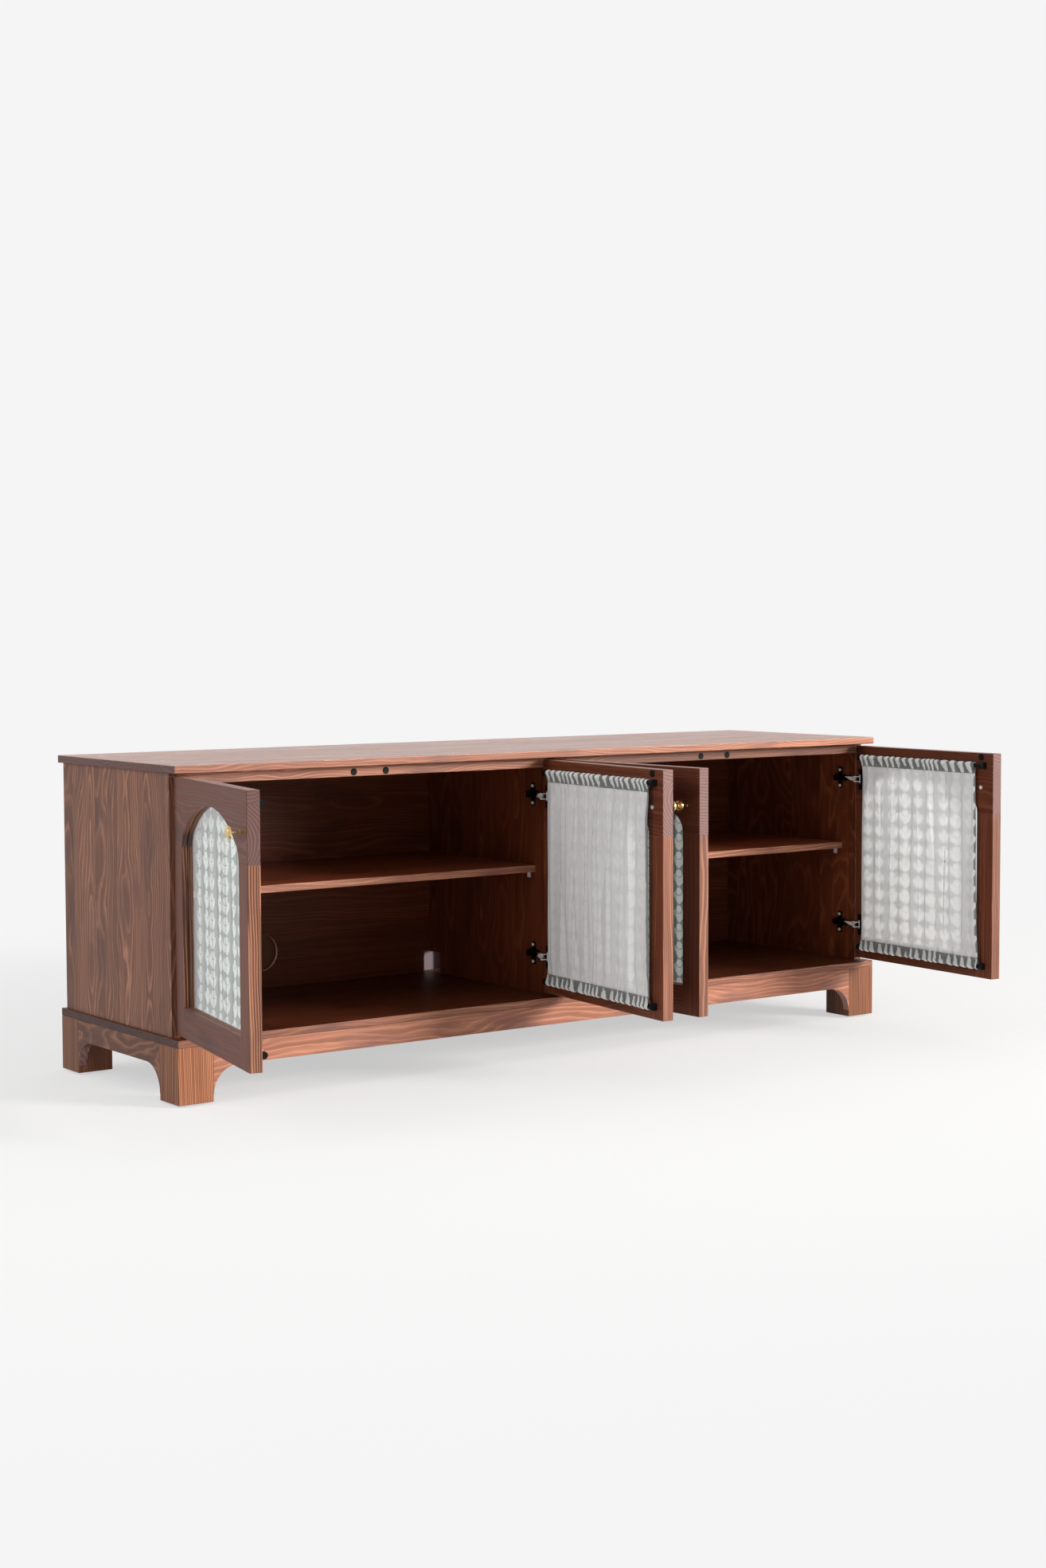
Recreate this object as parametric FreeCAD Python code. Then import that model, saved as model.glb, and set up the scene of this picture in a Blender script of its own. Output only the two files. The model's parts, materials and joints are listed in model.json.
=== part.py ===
"""Media console in stained pine: bracket feet, two compartments and four arched doors with curtains.

Frame: millimetres, +Z up, front towards -Y, origin on the floor under the middle of the top board.
The doors stand open, each at its own angle. A door is made closed in its own frame, where u runs from
the hinge edge to the free edge (along X), v from the outer face to the inside (along Y) and z up.
"""
import FreeCAD, Part
import math
import os

Vector = FreeCAD.Vector

# Boards, carcass and base
body_width = 1800.0
body_depth = 500.0
board_thickness = 15.0
interior_height = 501.0
leg_height = 109.0
leg_width = 75.0
glide_height = 4.0
glide_radius = 8.5
glide_nail_radius = 1.5
glide_nail_length = 14.0
apron_height = 41.5
apron_thickness = 18.0
bracket_radius = 54.0
side_overhang = 6.0
back_overhang = 13.0
panel_thickness = 18.0
divider_thickness = 20.0
back_thickness = 6.0
edge_round = 1.2

# Openings for cables
cable_hole_radius = 40.0
cable_hole_height = 77.0
notch_width = 48.0
notch_height = 46.0
notch_depth = 42.0

# Front top rails and catches
top_rail_height = 22.0
top_rail_thickness = 20.0
magnet_radius = 7.0
magnet_length = 10.0
magnet_proud = 0.7
strike_radius = 7.0
strike_thickness = 2.0
strike_inset = 36.0
strike_drop = 8.5

# Shelves and their pins
shelf_thickness = 15.0
shelf_setback = 40.0
shelf_rise = 256.0
shelf_end_clearance = 1.0
pin_radius = 2.5
pin_depth = 8.0
pin_inset = 24.0
pin_drop = 7.0
pin_pitch = 56.0
pin_plate_width = 9.0
pin_plate_height = 13.0
pin_plate_thickness = 2.0
pin_ledge_length = 10.0

# Dowels
dowel_radius = 4.0
dowel_in_board = 9.0
dowel_in_panel = 20.0
dowel_inset = 60.0

# Doors
door_thickness = 24.0
door_setback = 8.0
door_gap = 3.0
door_gap_below = 8.0
door_gap_above = 5.0
meeting_gap = 3.0
centre_gap = 4.0
stile_width = 48.0
door_top_rail_height = 130.0
door_bottom_rail_height = 57.0
arch_rise = 88.0
arch_shoulder_radius = 40.0
glass_lip = 10.0
glass_thickness = 4.0
groove_depth = 8.0
pivot_inset = 9.0
pivot_depth = 6.0
outer_rest_angles = (101.9, 87.0)

# Knobs
knob_inset = 36.0
knob_drop = 74.0
knob_foot_radius = 3.4
knob_foot_thickness = 1.5
knob_stem_radius = 2.6
knob_stem_length = 18.5
knob_rim_radius = 12.0
knob_rim_thickness = 3.2
knob_dome_radius = 9.0
knob_dome_step = 1.0
knob_dome_rise = 3.3
knob_screw_radius = 2.0
knob_screw_head_radius = 4.0
knob_screw_head_thickness = 2.0
knob_meeting_gap = 5.4
knob_meeting_shift = 12.2

# Cup hinges
hinge_inset = 76.0
cup_centre = 17.5
cup_radius = 13.0
cup_depth = 11.0
cup_wall = 0.8
cup_wing_half_height = 24.0
cup_wing_width = 14.0
cup_wing_thickness = 1.2
plate_setback = 47.0
plate_thickness = 3.0
plate_spine_half_length = 17.0
plate_spine_half_height = 8.0
plate_wing_half_width = 6.0
plate_wing_half_height = 24.0
arm_rise = 8.0
arm_half_height = 6.0
arm_length = 62.0
arm_shoulder = 24.0
arm_neck = 6.0
nose_from_cup = 7.1
nose_thickness = 3.0
nose_half_height = 4.2
nose_reach = 8.0
link_pin_radius = 1.2
link_pin_from_cup = 6.2
link_pin_depth = 2.1
link_elbow_from_cup = 6.7
link_elbow_depth = 3.6
link_tip_from_cup = 3.0
link_tip_reach = 14.0
link_half_width = 1.7
link_thickness = 1.8
link_turn_share = 1.25
hinge_screw_offset = 18.0
hinge_screw_radius = 1.75
hinge_screw_length = 12.0
hinge_screw_head_radius = 3.5
hinge_screw_head_thickness = 1.5

# Curtains and rods
rod_radius = 4.75
rod_inset = 26.0
rod_standoff = 9.5
rod_end_hinge_side = 21.0
rod_end_free_side = 20.0
bracket_length = 8.0
bracket_wall = 1.8
bracket_web = 2.0
curtain_from_hinge = 32.0
curtain_from_free = 42.5
cloth_thickness = 1.0
pleat_depth = 2.6
pleat_count = 26

# Fits and cuts
running_clearance = 0.3
hole_clearance = 0.1
overrun = 1.0

# Levels and planes
z_board = glide_height + leg_height
z_floor = z_board + board_thickness
z_ceiling = z_floor + interior_height
z_top = z_ceiling + board_thickness
z_door = z_floor + door_gap_below
z_door_top = z_ceiling - door_gap_above
z_spring = z_door_top - door_top_rail_height
z_hinges = (z_door + hinge_inset, z_door_top - hinge_inset)
z_strike = z_door_top - strike_drop
z_shelf = z_floor + shelf_rise
z_rods = (z_door + rod_inset, z_door_top - rod_inset)
x_end = body_width / 2
y_front = -body_depth / 2
y_back = body_depth / 2
y_door = y_front + door_setback
y_carcass = y_door + door_thickness + door_gap
y_rear = y_back - back_overhang
y_back_panel = y_rear - back_thickness
x_side = x_end - side_overhang
x_inner = x_side - panel_thickness
x_divider = divider_thickness / 2
door_width = (x_side - centre_gap / 2 - meeting_gap) / 2
v_carcass = door_thickness + door_gap
v_rod = door_thickness + rod_standoff


def box(low, high):
    """A box between two corners."""
    size = [b - a for a, b in zip(low, high)]
    return Part.makeBox(*size, Vector(*low))


def cylinder(radius, length, start, direction):
    return Part.makeCylinder(radius, length, Vector(*start), Vector(*direction))


def polygon_prism(points, direction):
    """The solid that a closed outline of points sweeps along a direction."""
    corners = [Vector(*p) for p in points]
    return Part.Face(Part.makePolygon(corners + corners[:1])).extrude(Vector(*direction))


def save(node, solids):
    """One STEP file for a node: a solid, or a group of separate solids."""
    shape = solids[0] if len(solids) == 1 else Part.makeCompound(solids)
    shape.exportStep(f"parts/{node}.step")


def rounded(low, high):
    """A board with softened edges."""
    board = box(low, high)
    return board.makeFillet(edge_round, board.Edges)


# Carcass

def dowel_places():
    """Where a dowel stands between an upright and a board: (x, y, z of the joint, towards the board)."""
    uprights = (x_inner - x_side) / 2
    columns = (-x_side - uprights, 0.0, x_side + uprights)
    rows = (y_carcass + dowel_inset, y_back_panel - dowel_inset)
    joints = ((z_floor, -1), (z_ceiling, 1))
    return [(x, y, z, way) for x in columns for y in rows for z, way in joints]


def dowel(place, grow):
    """A dowel, or with grow over zero the hole that takes it."""
    x, y, z, way = place
    start = (x, y, z - way * (dowel_in_panel + grow))
    length = dowel_in_panel + dowel_in_board + 2 * grow
    return cylinder(dowel_radius + grow, length, start, (0, 0, way))


def dowelled(board):
    """A board or upright with its dowel holes."""
    return board.cut([dowel(p, hole_clearance) for p in dowel_places()])


def pin_places(level):
    """Where a shelf pin enters a panel: (x of the panel's face, way out of it, y, z)."""
    rows = (y_carcass + shelf_setback + pin_inset, y_back_panel - pin_inset)
    faces = ((-x_inner, 1), (-x_divider, -1), (x_divider, 1), (x_inner, -1))
    return [(x, way, y, level - pin_drop) for x, way in faces for y in rows]


def pin_hole(place):
    x, way, y, z = place
    start = (x + way * overrun, y, z)
    depth = pin_depth + hole_clearance + overrun
    return cylinder(pin_radius + hole_clearance, depth, start, (-way, 0, 0))


def shelf_pin(place):
    """A stem in the panel, a plate against its face and a ledge under the shelf."""
    x, way, y, z = place
    stem = cylinder(pin_radius, pin_depth, (x, y, z), (-way, 0, 0))
    top = z + pin_drop
    half = pin_plate_width / 2
    plate_ends = sorted((x, x + way * pin_plate_thickness))
    ledge_ends = sorted((x, x + way * pin_ledge_length))
    plate = box((plate_ends[0], y - half, top - pin_plate_height), (plate_ends[1], y + half, top))
    ledge = box((ledge_ends[0], y - half, top - pin_plate_thickness), (ledge_ends[1], y + half, top))
    return stem.fuse([plate, ledge]).removeSplitter()


def hinge_screw_places():
    """Where a hinge plate's screw enters a panel: (x of the panel's face, way out of it, y, z)."""
    faces = ((-x_inner, 1), (-x_divider, -1), (x_divider, 1), (x_inner, -1))
    y = y_carcass + plate_setback
    heights = [z + side * hinge_screw_offset for z in z_hinges for side in (-1, 1)]
    return [(x, way, y, z) for x, way in faces for z in heights]


def hinge_screw(place, grow):
    """A screw through a hinge plate into a panel, or with grow over zero the hole for its shank."""
    x, way, y, z = place
    under_head = x + way * plate_thickness
    length = hinge_screw_length + grow
    shank = cylinder(hinge_screw_radius + grow, length, (under_head, y, z), (-way, 0, 0))
    if grow:
        return shank
    head_radius = hinge_screw_head_radius
    head = cylinder(head_radius, hinge_screw_head_thickness, (under_head, y, z), (way, 0, 0))
    return shank.fuse(head).removeSplitter()


def upright(x_low, x_high, y_end):
    """A side panel or the divider, with the holes for dowels, shelf pins and hinge screws."""
    panel = box((x_low, y_carcass, z_floor), (x_high, y_end, z_ceiling))
    levels = (z_shelf, z_shelf - pin_pitch)
    holes = [pin_hole(p) for level in levels for p in pin_places(level)]
    holes += [hinge_screw(p, hole_clearance) for p in hinge_screw_places()]
    return dowelled(panel).cut(holes)


def build_boards():
    save("top_board", [dowelled(rounded((-x_end, y_front, z_ceiling), (x_end, y_back, z_top)))])
    save("bottom_board", [dowelled(rounded((-x_end, y_front, z_board), (x_end, y_back, z_floor)))])


def build_uprights():
    save("side_panels", [upright(-x_side, -x_inner, y_rear), upright(x_inner, x_side, y_rear)])
    divider = upright(-x_divider, x_divider, y_back_panel)
    notch_low = (-x_divider - overrun, y_back_panel - notch_depth, z_floor - overrun)
    notch_high = (x_divider + overrun, y_back_panel + overrun, z_floor + notch_height)
    save("centre_divider", [divider.cut(box(notch_low, notch_high))])
    save("carcass_dowels", [dowel(p, 0) for p in dowel_places()])


def build_back():
    """The back panel, with a cable hole in each compartment and a cut-out behind the divider's notch."""
    panel = box((-x_inner, y_back_panel, z_floor), (x_inner, y_rear, z_ceiling))
    middle = (x_inner + x_divider) / 2
    depth = back_thickness + 2 * overrun
    cuts = [
        cylinder(cable_hole_radius, depth,
                 (side * middle, y_back_panel - overrun, z_floor + cable_hole_height), (0, 1, 0))
        for side in (-1, 1)
    ]
    cuts.append(box((-notch_width / 2, y_back_panel - overrun, z_floor - overrun),
                    (notch_width / 2, y_rear + overrun, z_floor + notch_height)))
    save("back_panel", [panel.cut(cuts)])


def magnet_places():
    """The middle of each magnet's outer end."""
    meeting = x_side - door_width - meeting_gap / 2
    reach = strike_inset + meeting_gap / 2
    return [(side * meeting + way * reach, y_carcass, z_strike) for side in (-1, 1) for way in (-1, 1)]


def magnet(place, grow):
    """A round magnet, or with grow over zero the hole that takes it."""
    x, y, z = place
    proud = overrun if grow else magnet_proud
    return cylinder(magnet_radius + grow, magnet_length + grow + proud, (x, y - proud, z), (0, 1, 0))


def build_top_rails():
    holes = [magnet(p, hole_clearance) for p in magnet_places()]
    rails = []
    for low, high in ((-x_inner, -x_divider), (x_divider, x_inner)):
        rail = box((low, y_carcass, z_ceiling - top_rail_height),
                   (high, y_carcass + top_rail_thickness, z_ceiling))
        rails.append(rail.cut(holes))
    save("front_top_rails", rails)
    save("catch_magnets", [magnet(p, 0) for p in magnet_places()])


def build_shelves():
    shelves = []
    for low, high in ((-x_inner, -x_divider), (x_divider, x_inner)):
        shelves.append(rounded((low + shelf_end_clearance, y_carcass + shelf_setback, z_shelf),
                               (high - shelf_end_clearance, y_back_panel - shelf_end_clearance,
                                z_shelf + shelf_thickness)))
    save("shelves", shelves)
    save("shelf_pins", [shelf_pin(p) for p in pin_places(z_shelf)])


# Base

def apron(length):
    """A bracket-ended apron along +X from the origin, its outer face towards -Y and its top at zero."""
    low = -apron_height - bracket_radius
    bow = bracket_radius * (1 - math.cos(math.radians(45)))
    rise = bracket_radius * math.sin(math.radians(45))
    corners = [Vector(0, 0, low), Vector(0, 0, 0), Vector(length, 0, 0), Vector(length, 0, low),
               Vector(length - bracket_radius, 0, -apron_height), Vector(bracket_radius, 0, -apron_height)]
    right_middle = Vector(length - bow, 0, low + rise)
    left_middle = Vector(bow, 0, low + rise)
    edges = [Part.LineSegment(corners[i], corners[i + 1]).toShape() for i in range(3)]
    edges.append(Part.Arc(corners[3], right_middle, corners[4]).toShape())
    edges.append(Part.LineSegment(corners[4], corners[5]).toShape())
    edges.append(Part.Arc(corners[5], left_middle, corners[0]).toShape())
    return Part.Face(Part.Wire(edges)).extrude(Vector(0, apron_thickness, 0))


def placed_apron(length, start, turn):
    board = apron(length)
    board.rotate(Vector(0, 0, 0), Vector(0, 0, 1), turn)
    board.translate(Vector(*start))
    return board


def build_base():
    front_length = body_width - 2 * leg_width
    side_length = body_depth - 2 * leg_width
    x_leg = x_end - leg_width
    y_leg = y_back - leg_width
    save("aprons", [placed_apron(front_length, (-x_leg, y_front, z_board), 0),
                    placed_apron(side_length, (x_end, -y_leg, z_board), 90),
                    placed_apron(front_length, (x_leg, y_back, z_board), 180),
                    placed_apron(side_length, (-x_end, y_leg, z_board), -90)])
    legs = []
    glides = []
    for sx in (-1, 1):
        for sy in (-1, 1):
            x = sx * (x_end - leg_width / 2)
            y = sy * (y_back - leg_width / 2)
            half = leg_width / 2
            nail_start = (x, y, glide_height)
            hole_length = glide_nail_length + hole_clearance
            hole = cylinder(glide_nail_radius + hole_clearance, hole_length, nail_start, (0, 0, 1))
            block = rounded((x - half, y - half, glide_height), (x + half, y + half, z_board))
            legs.append(block.cut(hole))
            nail = cylinder(glide_nail_radius, glide_nail_length, nail_start, (0, 0, 1))
            pad = cylinder(glide_radius, glide_height, (x, y, 0), (0, 0, 1))
            glides.append(pad.fuse(nail).removeSplitter())
    save("legs", legs)
    save("leg_glides", glides)


# Hinges on the carcass

def hinge_plate(face, z):
    """A cross-shaped mounting plate on a panel whose face is at u = face."""
    v = v_carcass + plate_setback
    top = face + plate_thickness
    spine = box((face, v - plate_spine_half_length, z - plate_spine_half_height),
                (top, v + plate_spine_half_length, z + plate_spine_half_height))
    wings = box((face, v - plate_wing_half_width, z - plate_wing_half_height),
                (top, v + plate_wing_half_width, z + plate_wing_half_height))
    holes = [
        cylinder(hinge_screw_radius + hole_clearance, plate_thickness + 2 * overrun,
                 (face - overrun, v, z + side * hinge_screw_offset), (1, 0, 0))
        for side in (-1, 1)
    ]
    return spine.fuse(wings).removeSplitter().cut(holes)


def hinge_arm(face, z):
    """The cranked arm: it lies on the plate and its narrow nose passes into the cup of the closed door."""
    low = face + plate_thickness
    high = low + arm_rise
    inner = cup_centre + nose_from_cup
    outer = inner + nose_thickness
    shoulder = v_carcass + arm_shoulder
    neck = v_carcass + arm_neck
    tip = v_carcass - nose_reach
    body = box((low, shoulder, z - arm_half_height), (high, v_carcass + arm_length, z + arm_half_height))
    outline = [(low, shoulder), (high, shoulder), (outer, neck), (outer, tip), (inner, tip), (inner, neck)]
    nose = polygon_prism([(u, v, z - nose_half_height) for u, v in outline], (0, 0, 2 * nose_half_height))
    return body.fuse(nose).removeSplitter()


# Doors

def rest_angle(number):
    """How far a door stands open. The middle doors open until their knobs nearly meet, left of centre."""
    if number in (1, 4):
        return outer_rest_angles[number // 4]
    projection = (knob_foot_thickness + knob_stem_length + knob_rim_thickness
                  + knob_dome_step + knob_dome_rise)
    shift = knob_meeting_shift if number == 2 else -knob_meeting_shift
    face = centre_gap / 2 + pivot_inset - pivot_depth
    offset = projection + knob_meeting_gap / 2 + shift - face
    reach = door_width - pivot_inset - knob_inset
    return 90 - math.degrees(math.asin(offset / reach))


class Door:
    """A door's number, its hand, where its hinge edge stands when closed, and its rest angle."""

    def __init__(self, number):
        self.name = f"door{number}"
        self.left = number in (1, 3)
        self.edge = {1: -x_side, 2: -centre_gap / 2, 3: centre_gap / 2, 4: x_side}[number]
        self.angle = rest_angle(number)
        self.panel_face = panel_thickness if number in (1, 4) else x_divider - centre_gap / 2

    def closed(self, shape):
        """A shape of the door's own frame, at the closed door's place."""
        placed = shape if self.left else shape.mirror(Vector(0, 0, 0), Vector(1, 0, 0))
        placed.translate(Vector(self.edge, y_door, 0))
        return placed

    def opened(self, shape):
        """A shape of the door's own frame, at the open door's place."""
        placed = self.closed(shape)
        way = 1 if self.left else -1
        pivot = Vector(self.edge + way * pivot_inset, y_door + pivot_depth, 0)
        placed.rotate(pivot, Vector(0, 0, 1), -way * self.angle)
        return placed

    def save(self, piece, solids):
        save(f"{self.name}_{piece}", [self.opened(s) for s in solids])


def arch():
    """The head of the window: a three-centred arch on the spring line, cut right through the door."""
    left = stile_width
    right = door_width - stile_width
    middle = door_width / 2
    half = middle - left
    to_shoulder = half - arch_shoulder_radius
    crown_radius = (to_shoulder ** 2 + arch_rise ** 2 - arch_shoulder_radius ** 2) / (
        2 * (arch_rise - arch_shoulder_radius))
    crown_drop = crown_radius - arch_rise
    lean = math.atan2(to_shoulder, crown_drop)
    half_lean = (math.pi / 2 + lean) / 2

    def point(u, z):
        return Vector(u, -overrun, z)

    def on_crown(side):
        return point(middle + side * crown_radius * math.sin(lean),
                     z_spring - crown_drop + crown_radius * math.cos(lean))

    def on_shoulder(side):
        return point(middle + side * (to_shoulder + arch_shoulder_radius * math.sin(half_lean)),
                     z_spring + arch_shoulder_radius * math.cos(half_lean))

    foot_left = point(left, z_spring - overrun)
    foot_right = point(right, z_spring - overrun)
    spring_left = point(left, z_spring)
    spring_right = point(right, z_spring)
    apex = point(middle, z_spring + arch_rise)
    edges = [
        Part.LineSegment(foot_left, spring_left).toShape(),
        Part.Arc(spring_left, on_shoulder(-1), on_crown(-1)).toShape(),
        Part.Arc(on_crown(-1), apex, on_crown(1)).toShape(),
        Part.Arc(on_crown(1), on_shoulder(1), spring_right).toShape(),
        Part.LineSegment(spring_right, foot_right).toShape(),
        Part.LineSegment(foot_right, foot_left).toShape(),
    ]
    return Part.Face(Part.Wire(edges)).extrude(Vector(0, door_thickness + 2 * overrun, 0))


def glass_box(grow):
    """The glass pane, or with grow over zero the groove that holds it."""
    reach = groove_depth - running_clearance + grow
    low = (stile_width - reach, glass_lip + running_clearance - grow,
           z_door + door_bottom_rail_height - reach)
    high = (door_width - stile_width + reach, glass_lip + running_clearance + glass_thickness + grow,
            z_spring + arch_rise + reach)
    return box(low, high)


def knob_axis():
    return door_width - knob_inset, z_door_top - knob_drop


def cup_hole(z):
    depth = cup_depth + hole_clearance + overrun
    start = (cup_centre, door_thickness + overrun, z)
    return cylinder(cup_radius + hole_clearance, depth, start, (0, -1, 0))


def door_frame():
    """The door's four wooden pieces, cut from one slab with softened outer edges."""
    slab = rounded((0, 0, z_door), (door_width, door_thickness, z_door_top))
    u_knob, z_knob = knob_axis()
    knob_hole = cylinder(knob_screw_radius + hole_clearance, door_thickness + 2 * overrun,
                         (u_knob, -overrun, z_knob), (0, 1, 0))
    low_z = z_door - overrun
    back = door_thickness + overrun
    right = door_width - stile_width
    head = slab.common(box((-overrun, -overrun, z_spring), (door_width + overrun, back, z_door_top + overrun)))
    hinge_stile = slab.common(box((-overrun, -overrun, low_z), (stile_width, back, z_spring)))
    free_stile = slab.common(box((right, -overrun, low_z), (door_width + overrun, back, z_spring)))
    foot = slab.common(box((stile_width, -overrun, low_z), (right, back, z_door + door_bottom_rail_height)))
    groove = glass_box(running_clearance)
    return {
        "top_rail": [head.cut([arch(), groove, knob_hole, cup_hole(z_hinges[1])])],
        "stiles": [hinge_stile.cut([groove, cup_hole(z_hinges[0])]), free_stile.cut(groove)],
        "bottom_rail": [foot.cut(groove)],
    }


def knob():
    """A brass disc knob on a thin stem, and the screw that holds it from inside."""
    u, z = knob_axis()
    under = knob_foot_thickness + knob_stem_length
    rim = under + knob_rim_thickness
    step = rim + knob_dome_step
    profile = [
        (0, 0), (knob_foot_radius, 0), (knob_foot_radius, knob_foot_thickness),
        (knob_stem_radius, knob_foot_thickness), (knob_stem_radius, under),
        (knob_rim_radius, under), (knob_rim_radius, rim), (knob_dome_radius, rim),
        (knob_dome_radius, step),
    ]
    points = [Vector(u + r, -d, z) for r, d in profile]
    tip = Vector(u, -step - knob_dome_rise, z)
    dome_radius = (knob_dome_radius ** 2 + knob_dome_rise ** 2) / (2 * knob_dome_rise)
    half_angle = math.asin(knob_dome_radius / dome_radius) / 2
    dome_middle = Vector(u + dome_radius * math.sin(half_angle), 0, z)
    dome_middle.y = tip.y + dome_radius * (1 - math.cos(half_angle))
    edges = [Part.LineSegment(a, b).toShape() for a, b in zip(points, points[1:])]
    edges.append(Part.Arc(points[-1], dome_middle, tip).toShape())
    edges.append(Part.LineSegment(tip, points[0]).toShape())
    body = Part.Face(Part.Wire(edges)).revolve(Vector(u, 0, z), Vector(0, 1, 0), 360)
    shank = cylinder(knob_screw_radius, door_thickness, (u, 0, z), (0, 1, 0))
    head = cylinder(knob_screw_head_radius, knob_screw_head_thickness, (u, door_thickness, z), (0, 1, 0))
    return [body, shank.fuse(head).removeSplitter()]


def hinge_cup(z):
    """A round cup let into the door, with two wings on its inner face."""
    v = door_thickness
    cup = cylinder(cup_radius, cup_depth, (cup_centre, v, z), (0, -1, 0))
    half = cup_wing_width / 2
    wings = box((cup_centre - half, v, z - cup_wing_half_height),
                (cup_centre + half, v + cup_wing_thickness, z + cup_wing_half_height))
    hollow_depth = cup_depth - cup_wall + cup_wing_thickness + overrun
    mouth = (cup_centre, v + cup_wing_thickness + overrun, z)
    hollow = cylinder(cup_radius - cup_wall, hollow_depth, mouth, (0, -1, 0))
    return cup.fuse(wings).removeSplitter().cut(hollow)


def link_leg(start, end, z):
    """A straight leg of a link's flank between two points of its middle line."""
    along = Vector(end[0] - start[0], end[1] - start[1], 0).normalize()
    across = Vector(-along.y, along.x, 0) * link_half_width
    ends = [Vector(*start, z), Vector(*end, z)]
    corners = [ends[0] - across, ends[1] - across, ends[1] + across, ends[0] + across]
    return polygon_prism(corners, (0, 0, link_thickness))


def hinge_link(z, angle):
    """A bent link: two flanks beside the arm's nose, on a pin across the cup.

    It lies in the cup of the closed door and turns on its pin as the door opens by an angle.
    """
    pin = (cup_centre - link_pin_from_cup, door_thickness - link_pin_depth)
    elbow = (cup_centre + link_elbow_from_cup, door_thickness - link_elbow_depth)
    tip = (cup_centre + link_tip_from_cup, door_thickness + link_tip_reach)
    beside_nose = nose_half_height + running_clearance
    pieces = []
    for low in (z + beside_nose, z - beside_nose - link_thickness):
        pieces += [cylinder(link_half_width, link_thickness, (*p, low), (0, 0, 1)) for p in (pin, elbow, tip)]
        pieces += [link_leg(pin, elbow, low), link_leg(elbow, tip, low)]
    pin_room = (cup_radius - cup_wall) ** 2 - (link_pin_from_cup + link_pin_radius) ** 2
    pin_half = math.sqrt(pin_room) - running_clearance
    pieces.append(cylinder(link_pin_radius, 2 * pin_half, (*pin, z - pin_half), (0, 0, 1)))
    link = pieces[0].fuse(pieces[1:]).removeSplitter()
    link.rotate(Vector(*pin, 0), Vector(0, 0, 1), link_turn_share * angle)
    return link


def strike():
    start = (door_width - strike_inset, door_thickness, z_strike)
    return cylinder(strike_radius, strike_thickness, start, (0, 1, 0))


def rod_ends():
    return rod_end_hinge_side, door_width - rod_end_free_side


def curtain_rod(z, grow):
    """A rod between its brackets, or with grow over zero the room that it needs."""
    start, end = rod_ends()
    seat = bracket_length - bracket_web
    low = start + bracket_length - seat
    high = end - bracket_length + seat
    return cylinder(rod_radius + grow, high - low, (low, v_rod, z), (1, 0, 0))


def rod_bracket(u, z):
    """A socket for a rod's end, on a foot against the door."""
    radius = rod_radius + bracket_wall
    socket = cylinder(radius, bracket_length, (u, v_rod, z), (1, 0, 0))
    foot = box((u, door_thickness, z - radius), (u + bracket_length, v_rod, z + radius))
    return socket.fuse(foot).removeSplitter().cut(curtain_rod(z, hole_clearance))


def pleated_sheet():
    """The curtain between its rods: pleats as a chain of arcs, bulging to either side in turn."""
    start = curtain_from_hinge
    width = door_width - curtain_from_free - start
    chord = width / (2 * pleat_count)
    radius = (chord ** 2 / 4 + pleat_depth ** 2) / (2 * pleat_depth)
    lean = math.asin(chord / 2 / radius)
    half = cloth_thickness / 2
    low = z_rods[0]

    def crossing(i, side):
        """A point of the sheet's face beside a crossing of its middle line."""
        tilt = lean if i % 2 == 0 else -lean
        return Vector(start + i * chord - side * half * math.sin(tilt),
                      v_rod + side * half * math.cos(tilt), low)

    def crest(i, side):
        bulge = 1 if i % 2 == 0 else -1
        return Vector(start + (i + 1 / 2) * chord, v_rod + bulge * pleat_depth + side * half, low)

    count = 2 * pleat_count
    edges = []
    for side in (-1, 1):
        for i in range(count):
            edges.append(Part.Arc(crossing(i, side), crest(i, side), crossing(i + 1, side)).toShape())
    for i in (0, count):
        edges.append(Part.LineSegment(crossing(i, -1), crossing(i, 1)).toShape())
    outline = Part.Wire(Part.__sortEdges__(edges))
    return Part.Face(outline).extrude(Vector(0, 0, z_rods[1] - z_rods[0]))


def curtain():
    """The pleated sheet with a sleeve round each rod, clear of the rods."""
    sheet = pleated_sheet()
    low = curtain_from_hinge
    length = door_width - curtain_from_free - low
    bore = rod_radius + running_clearance
    sleeves = [cylinder(bore + cloth_thickness, length, (low, v_rod, z), (1, 0, 0)) for z in z_rods]
    rooms = [curtain_rod(z, running_clearance) for z in z_rods]
    return sheet.fuse(sleeves).cut(rooms)


def build_door(door):
    for piece, solids in door_frame().items():
        door.save(piece, solids)
    door.save("glass", [glass_box(0)])
    door.save("curtain", [curtain()])
    door.save("curtain_rods", [curtain_rod(z, 0) for z in z_rods])
    start, end = rod_ends()
    places = [(u, z) for u in (start, end - bracket_length) for z in z_rods]
    door.save("rod_brackets", [rod_bracket(u, z) for u, z in places])
    door.save("knob", knob())
    door.save("hinge_cups", [hinge_cup(z) for z in z_hinges])
    door.save("hinge_links", [hinge_link(z, door.angle) for z in z_hinges])
    door.save("strike", [strike()])


def build_hinges(doors):
    """The plates and arms of all hinges stay on the carcass."""
    places = [(door, z) for door in doors for z in z_hinges]
    save("hinge_plates", [door.closed(hinge_plate(door.panel_face, z)) for door, z in places])
    save("hinge_arms", [door.closed(hinge_arm(door.panel_face, z)) for door, z in places])
    save("hinge_screws", [hinge_screw(p, 0) for p in hinge_screw_places()])


os.makedirs("parts", exist_ok=True)
all_doors = [Door(number) for number in (1, 2, 3, 4)]
build_boards()
build_uprights()
build_back()
build_top_rails()
build_shelves()
build_base()
build_hinges(all_doors)
for each_door in all_doors:
    build_door(each_door)
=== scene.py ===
"""Looks of the media console: stained pine, glass, gathered printed curtains, brass and dark fittings."""
import json
import math
import bpy
import numpy as np
from mathutils import Matrix, Vector, noise


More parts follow.
